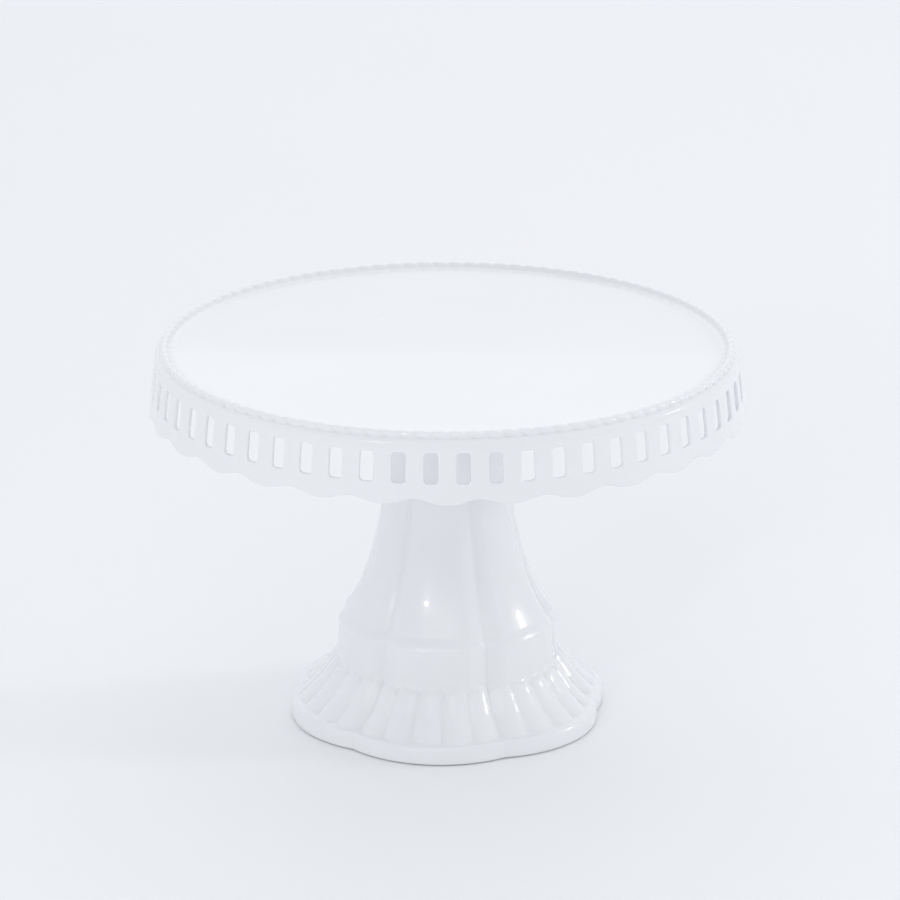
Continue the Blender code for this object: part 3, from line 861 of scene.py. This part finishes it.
def glossy_white():
    """Moulded melamine-like plastic: soft unevenness, fine orange peel, faint rub marks."""
    material, tree, shader = new_material("glossy_white_plastic")
    place = position(tree)
    cloud = noise(tree, place, 14.0, 3.0)
    haze = noise(tree, stretched(tree, place, (1.0, 2.6, 1.4)), 38.0, 4.0, 0.6)
    speck = noise(tree, place, 900.0, 2.0)
    tone = mix_colour(tree, remap(tree, cloud, 0.3, 0.7, 0.0, 1.0),
                      (0.885, 0.893, 0.905), (0.905, 0.91, 0.918))
    tone = mix_colour(tree, remap(tree, speck, 0.68, 0.8, 0.0, 0.10), tone, (0.80, 0.80, 0.79))
    tree.links.new(tone, shader.inputs["Base Color"])
    rub = noise(tree, stretched(tree, place, (1.0, 9.0, 1.0)), 160.0, 2.0)
    gloss = combine(tree, "ADD", remap(tree, haze, 0.3, 0.7, 0.22, 0.26),
                    remap(tree, rub, 0.62, 0.75, 0.0, 0.02))
    tree.links.new(gloss, shader.inputs["Roughness"])
    waviness = bump(tree, noise(tree, place, 32.0, 1.0), 0.25 * MM, 0.2)
    peel = bump(tree, noise(tree, place, 1100.0, 1.0), 0.01 * MM, 0.5, waviness)
    tree.links.new(peel, shader.inputs["Normal"])
    shader.inputs["Coat Weight"].default_value = 0.45
    shader.inputs["Coat Roughness"].default_value = 0.035
    shader.inputs["IOR"].default_value = 1.46
    return material


def satin_plastic():
    """Knob plastic: spark-eroded satin skin with a faint flow pattern."""
    material, tree, shader = new_material("satin_knob_plastic")
    place = position(tree)
    flow = noise(tree, stretched(tree, place, (1.0, 1.0, 3.0)), 120.0, 3.0, 0.6)
    tone = mix_colour(tree, remap(tree, flow, 0.35, 0.65, 0.0, 1.0),
                      (0.79, 0.80, 0.81), (0.83, 0.835, 0.84))
    tree.links.new(tone, shader.inputs["Base Color"])
    grain = noise(tree, place, 2600.0, 2.0)
    tree.links.new(remap(tree, grain, 0.3, 0.7, 0.36, 0.5), shader.inputs["Roughness"])
    tree.links.new(bump(tree, grain, 0.03 * MM, 0.5), shader.inputs["Normal"])
    return material


def metal(name, light, dark, stain, roughness, grain_scale):
    """Worn metal: blotchy plating, fine scratches along one direction, small pits."""
    material, tree, shader = new_material(name, roughness, 1.0)
    place = position(tree)
    blotch = noise(tree, place, 260.0, 4.0, 0.6)
    stains = noise(tree, place, 90.0, 3.0, 0.7)
    tone = mix_colour(tree, remap(tree, blotch, 0.35, 0.65, 0.0, 1.0), light, dark)
    tone = mix_colour(tree, remap(tree, stains, 0.52, 0.72, 0.0, 0.45), tone, stain)
    tree.links.new(tone, shader.inputs["Base Color"])
    scratch = noise(tree, stretched(tree, place, (1.0, 1.0, 14.0)), grain_scale, 3.0)
    worn = combine(tree, "ADD", remap(tree, blotch, 0.3, 0.7, roughness - 0.08, roughness + 0.1),
                   remap(tree, scratch, 0.55, 0.75, 0.0, 0.15))
    tree.links.new(worn, shader.inputs["Roughness"])
    pits = bump(tree, noise(tree, place, 1800.0, 2.0), 0.012 * MM, 0.5)
    tree.links.new(bump(tree, scratch, 0.01 * MM, 0.4, pits), shader.inputs["Normal"])
    return material


def rubber(name, light, dark, roughness):
    material, tree, shader = new_material(name, roughness)
    place = position(tree)
    cloud = noise(tree, place, 300.0, 4.0, 0.6)
    tone = mix_colour(tree, remap(tree, cloud, 0.3, 0.7, 0.0, 1.0), light, dark)
    tree.links.new(tone, shader.inputs["Base Color"])
    worn = remap(tree, cloud, 0.3, 0.7, roughness - 0.08, roughness + 0.08)
    tree.links.new(worn, shader.inputs["Roughness"])
    tree.links.new(bump(tree, noise(tree, place, 1500.0, 3.0), 0.03 * MM, 0.6), shader.inputs["Normal"])
    return material


def pad_rubber():
    """Soft translucent white pad."""
    material = rubber("pad_soft_rubber", (0.80, 0.815, 0.83), (0.73, 0.745, 0.76), 0.5)
    shader = material.node_tree.nodes["Principled BSDF"]
    shader.inputs["Subsurface Weight"].default_value = 0.25
    shader.inputs["Subsurface Radius"].default_value = (0.8 * MM, 0.8 * MM, 0.8 * MM)
    shader.inputs["Subsurface Scale"].default_value = 1.0
    return material


def floor_material():
    material, tree, shader = new_material("pale_floor", 0.6)
    place = position(tree)
    tone = mix_colour(tree, noise(tree, place, 3.0, 2.0), (0.95, 0.955, 0.96), (0.96, 0.965, 0.97))
    tree.links.new(tone, shader.inputs["Base Color"])
    grain = noise(tree, place, 60.0, 3.0)
    tree.links.new(remap(tree, grain, 0.3, 0.7, 0.55, 0.7), shader.inputs["Roughness"])
    shader.inputs["Specular IOR Level"].default_value = 0.2
    return material


# Stage, light and camera

def build_floor():
    mesh = bpy.data.meshes.new("floor")
    half = 30.0
    corners = [(-half, -half, 0.0), (half, -half, 0.0), (half, half, 0.0), (-half, half, 0.0)]
    mesh.from_pydata(corners, [], [(0, 1, 2, 3)])
    mesh.materials.append(floor_material())
    floor = bpy.data.objects.new("floor", mesh)
    bpy.context.scene.collection.objects.link(floor)


def build_world():
    """Soft white studio, a little brighter behind the stand than on the camera's side."""
    world = bpy.data.worlds.new("studio")
    world.use_nodes = True
    tree = world.node_tree
    background = tree.nodes["Background"]
    background.inputs["Color"].default_value = (0.935, 0.955, 1.0, 1.0)
    direction = tree.nodes.new("ShaderNodeTexCoord").outputs["Generated"]
    lean = tree.nodes.new("ShaderNodeVectorMath")
    lean.operation = "DOT_PRODUCT"
    lean.inputs[1].default_value = WORLD_LEAN
    tree.links.new(direction, lean.inputs[0])
    strength = combine(tree, "ADD", lean.outputs["Value"], WORLD_LEVEL)
    tree.links.new(strength, background.inputs["Strength"])
    bpy.context.scene.world = world


def add_softbox(name, azimuth, elevation, distance, size, power, shape="DISK"):
    """Area light that faces the pedestal; azimuth is where it stands, in degrees from the front."""
    light = bpy.data.lights.new(name, "AREA")
    light.shape = shape
    light.size = size
    light.energy = power
    lamp = bpy.data.objects.new(name, light)
    level = distance * math.cos(math.radians(elevation))
    x, y, _ = polar(azimuth, level, 0.0)
    source = Vector((x, y, distance * math.sin(math.radians(elevation))))
    lamp.location = source + Vector((0.0, 0.0, LIGHT_TARGET_Z))
    lamp.rotation_euler = source.to_track_quat("Z", "Y").to_euler()
    bpy.context.scene.collection.objects.link(lamp)


def build_lights():
    add_softbox("key", 97.0, 19.5, 2.6, 0.38, 7.6)
    add_softbox("front_glint", -28.0, 19.0, 2.6, 0.2, 3.6)
    add_softbox("front_fill", -12.0, 34.0, 2.6, 1.8, 5.6)
    add_softbox("back_sweep", 178.0, 42.0, 2.6, 2.2, 4.8, "SQUARE")


def build_camera():
    """Seen from the front and above, with a long lens."""
    camera = bpy.data.cameras.new("camera")
    camera.sensor_width = 36.0
    camera.lens = 172.7
    camera.clip_end = 100.0
    holder = bpy.data.objects.new("camera", camera)
    distance = 2.203
    elevation = math.radians(17.352)
    holder.location = (0.0, -distance * math.cos(elevation), PLATE_TOP + distance * math.sin(elevation))
    holder.rotation_euler = (math.radians(90.0 - 18.797), 0.0, math.radians(-0.036))
    bpy.context.scene.collection.objects.link(holder)
    bpy.context.scene.camera = holder


def build_scene():
    bpy.context.scene.view_settings.view_transform = "Standard"
    build_floor()
    build_world()
    build_lights()
    build_camera()
    white = glossy_white()
    plate_piece(white)
    pedestal_piece(white)
    zinc = metal("zinc_plated_steel", (0.68, 0.69, 0.71), (0.56, 0.58, 0.61),
                 (0.70, 0.66, 0.56), 0.3, 700.0)
    brass = metal("turned_brass", (0.80, 0.62, 0.29), (0.68, 0.50, 0.21),
                  (0.55, 0.40, 0.20), 0.32, 900.0)
    screw_piece(zinc)
    ring_piece("zinc_washer", zinc, "washer", "steel_washer",
               WASHER_HOLE, 0.35 * MM, 0.15 * MM)
    insert_piece(brass)
    black = rubber("black_gasket_rubber", (0.045, 0.045, 0.047), (0.03, 0.03, 0.031), 0.65)
    ring_piece("gasket_ring", black, "stand", "rubber_gasket",
               GASKET_HOLE, 0.5 * MM, 0.25 * MM)
    knob_piece(satin_plastic())
    pad_pieces(pad_rubber())


build_scene()
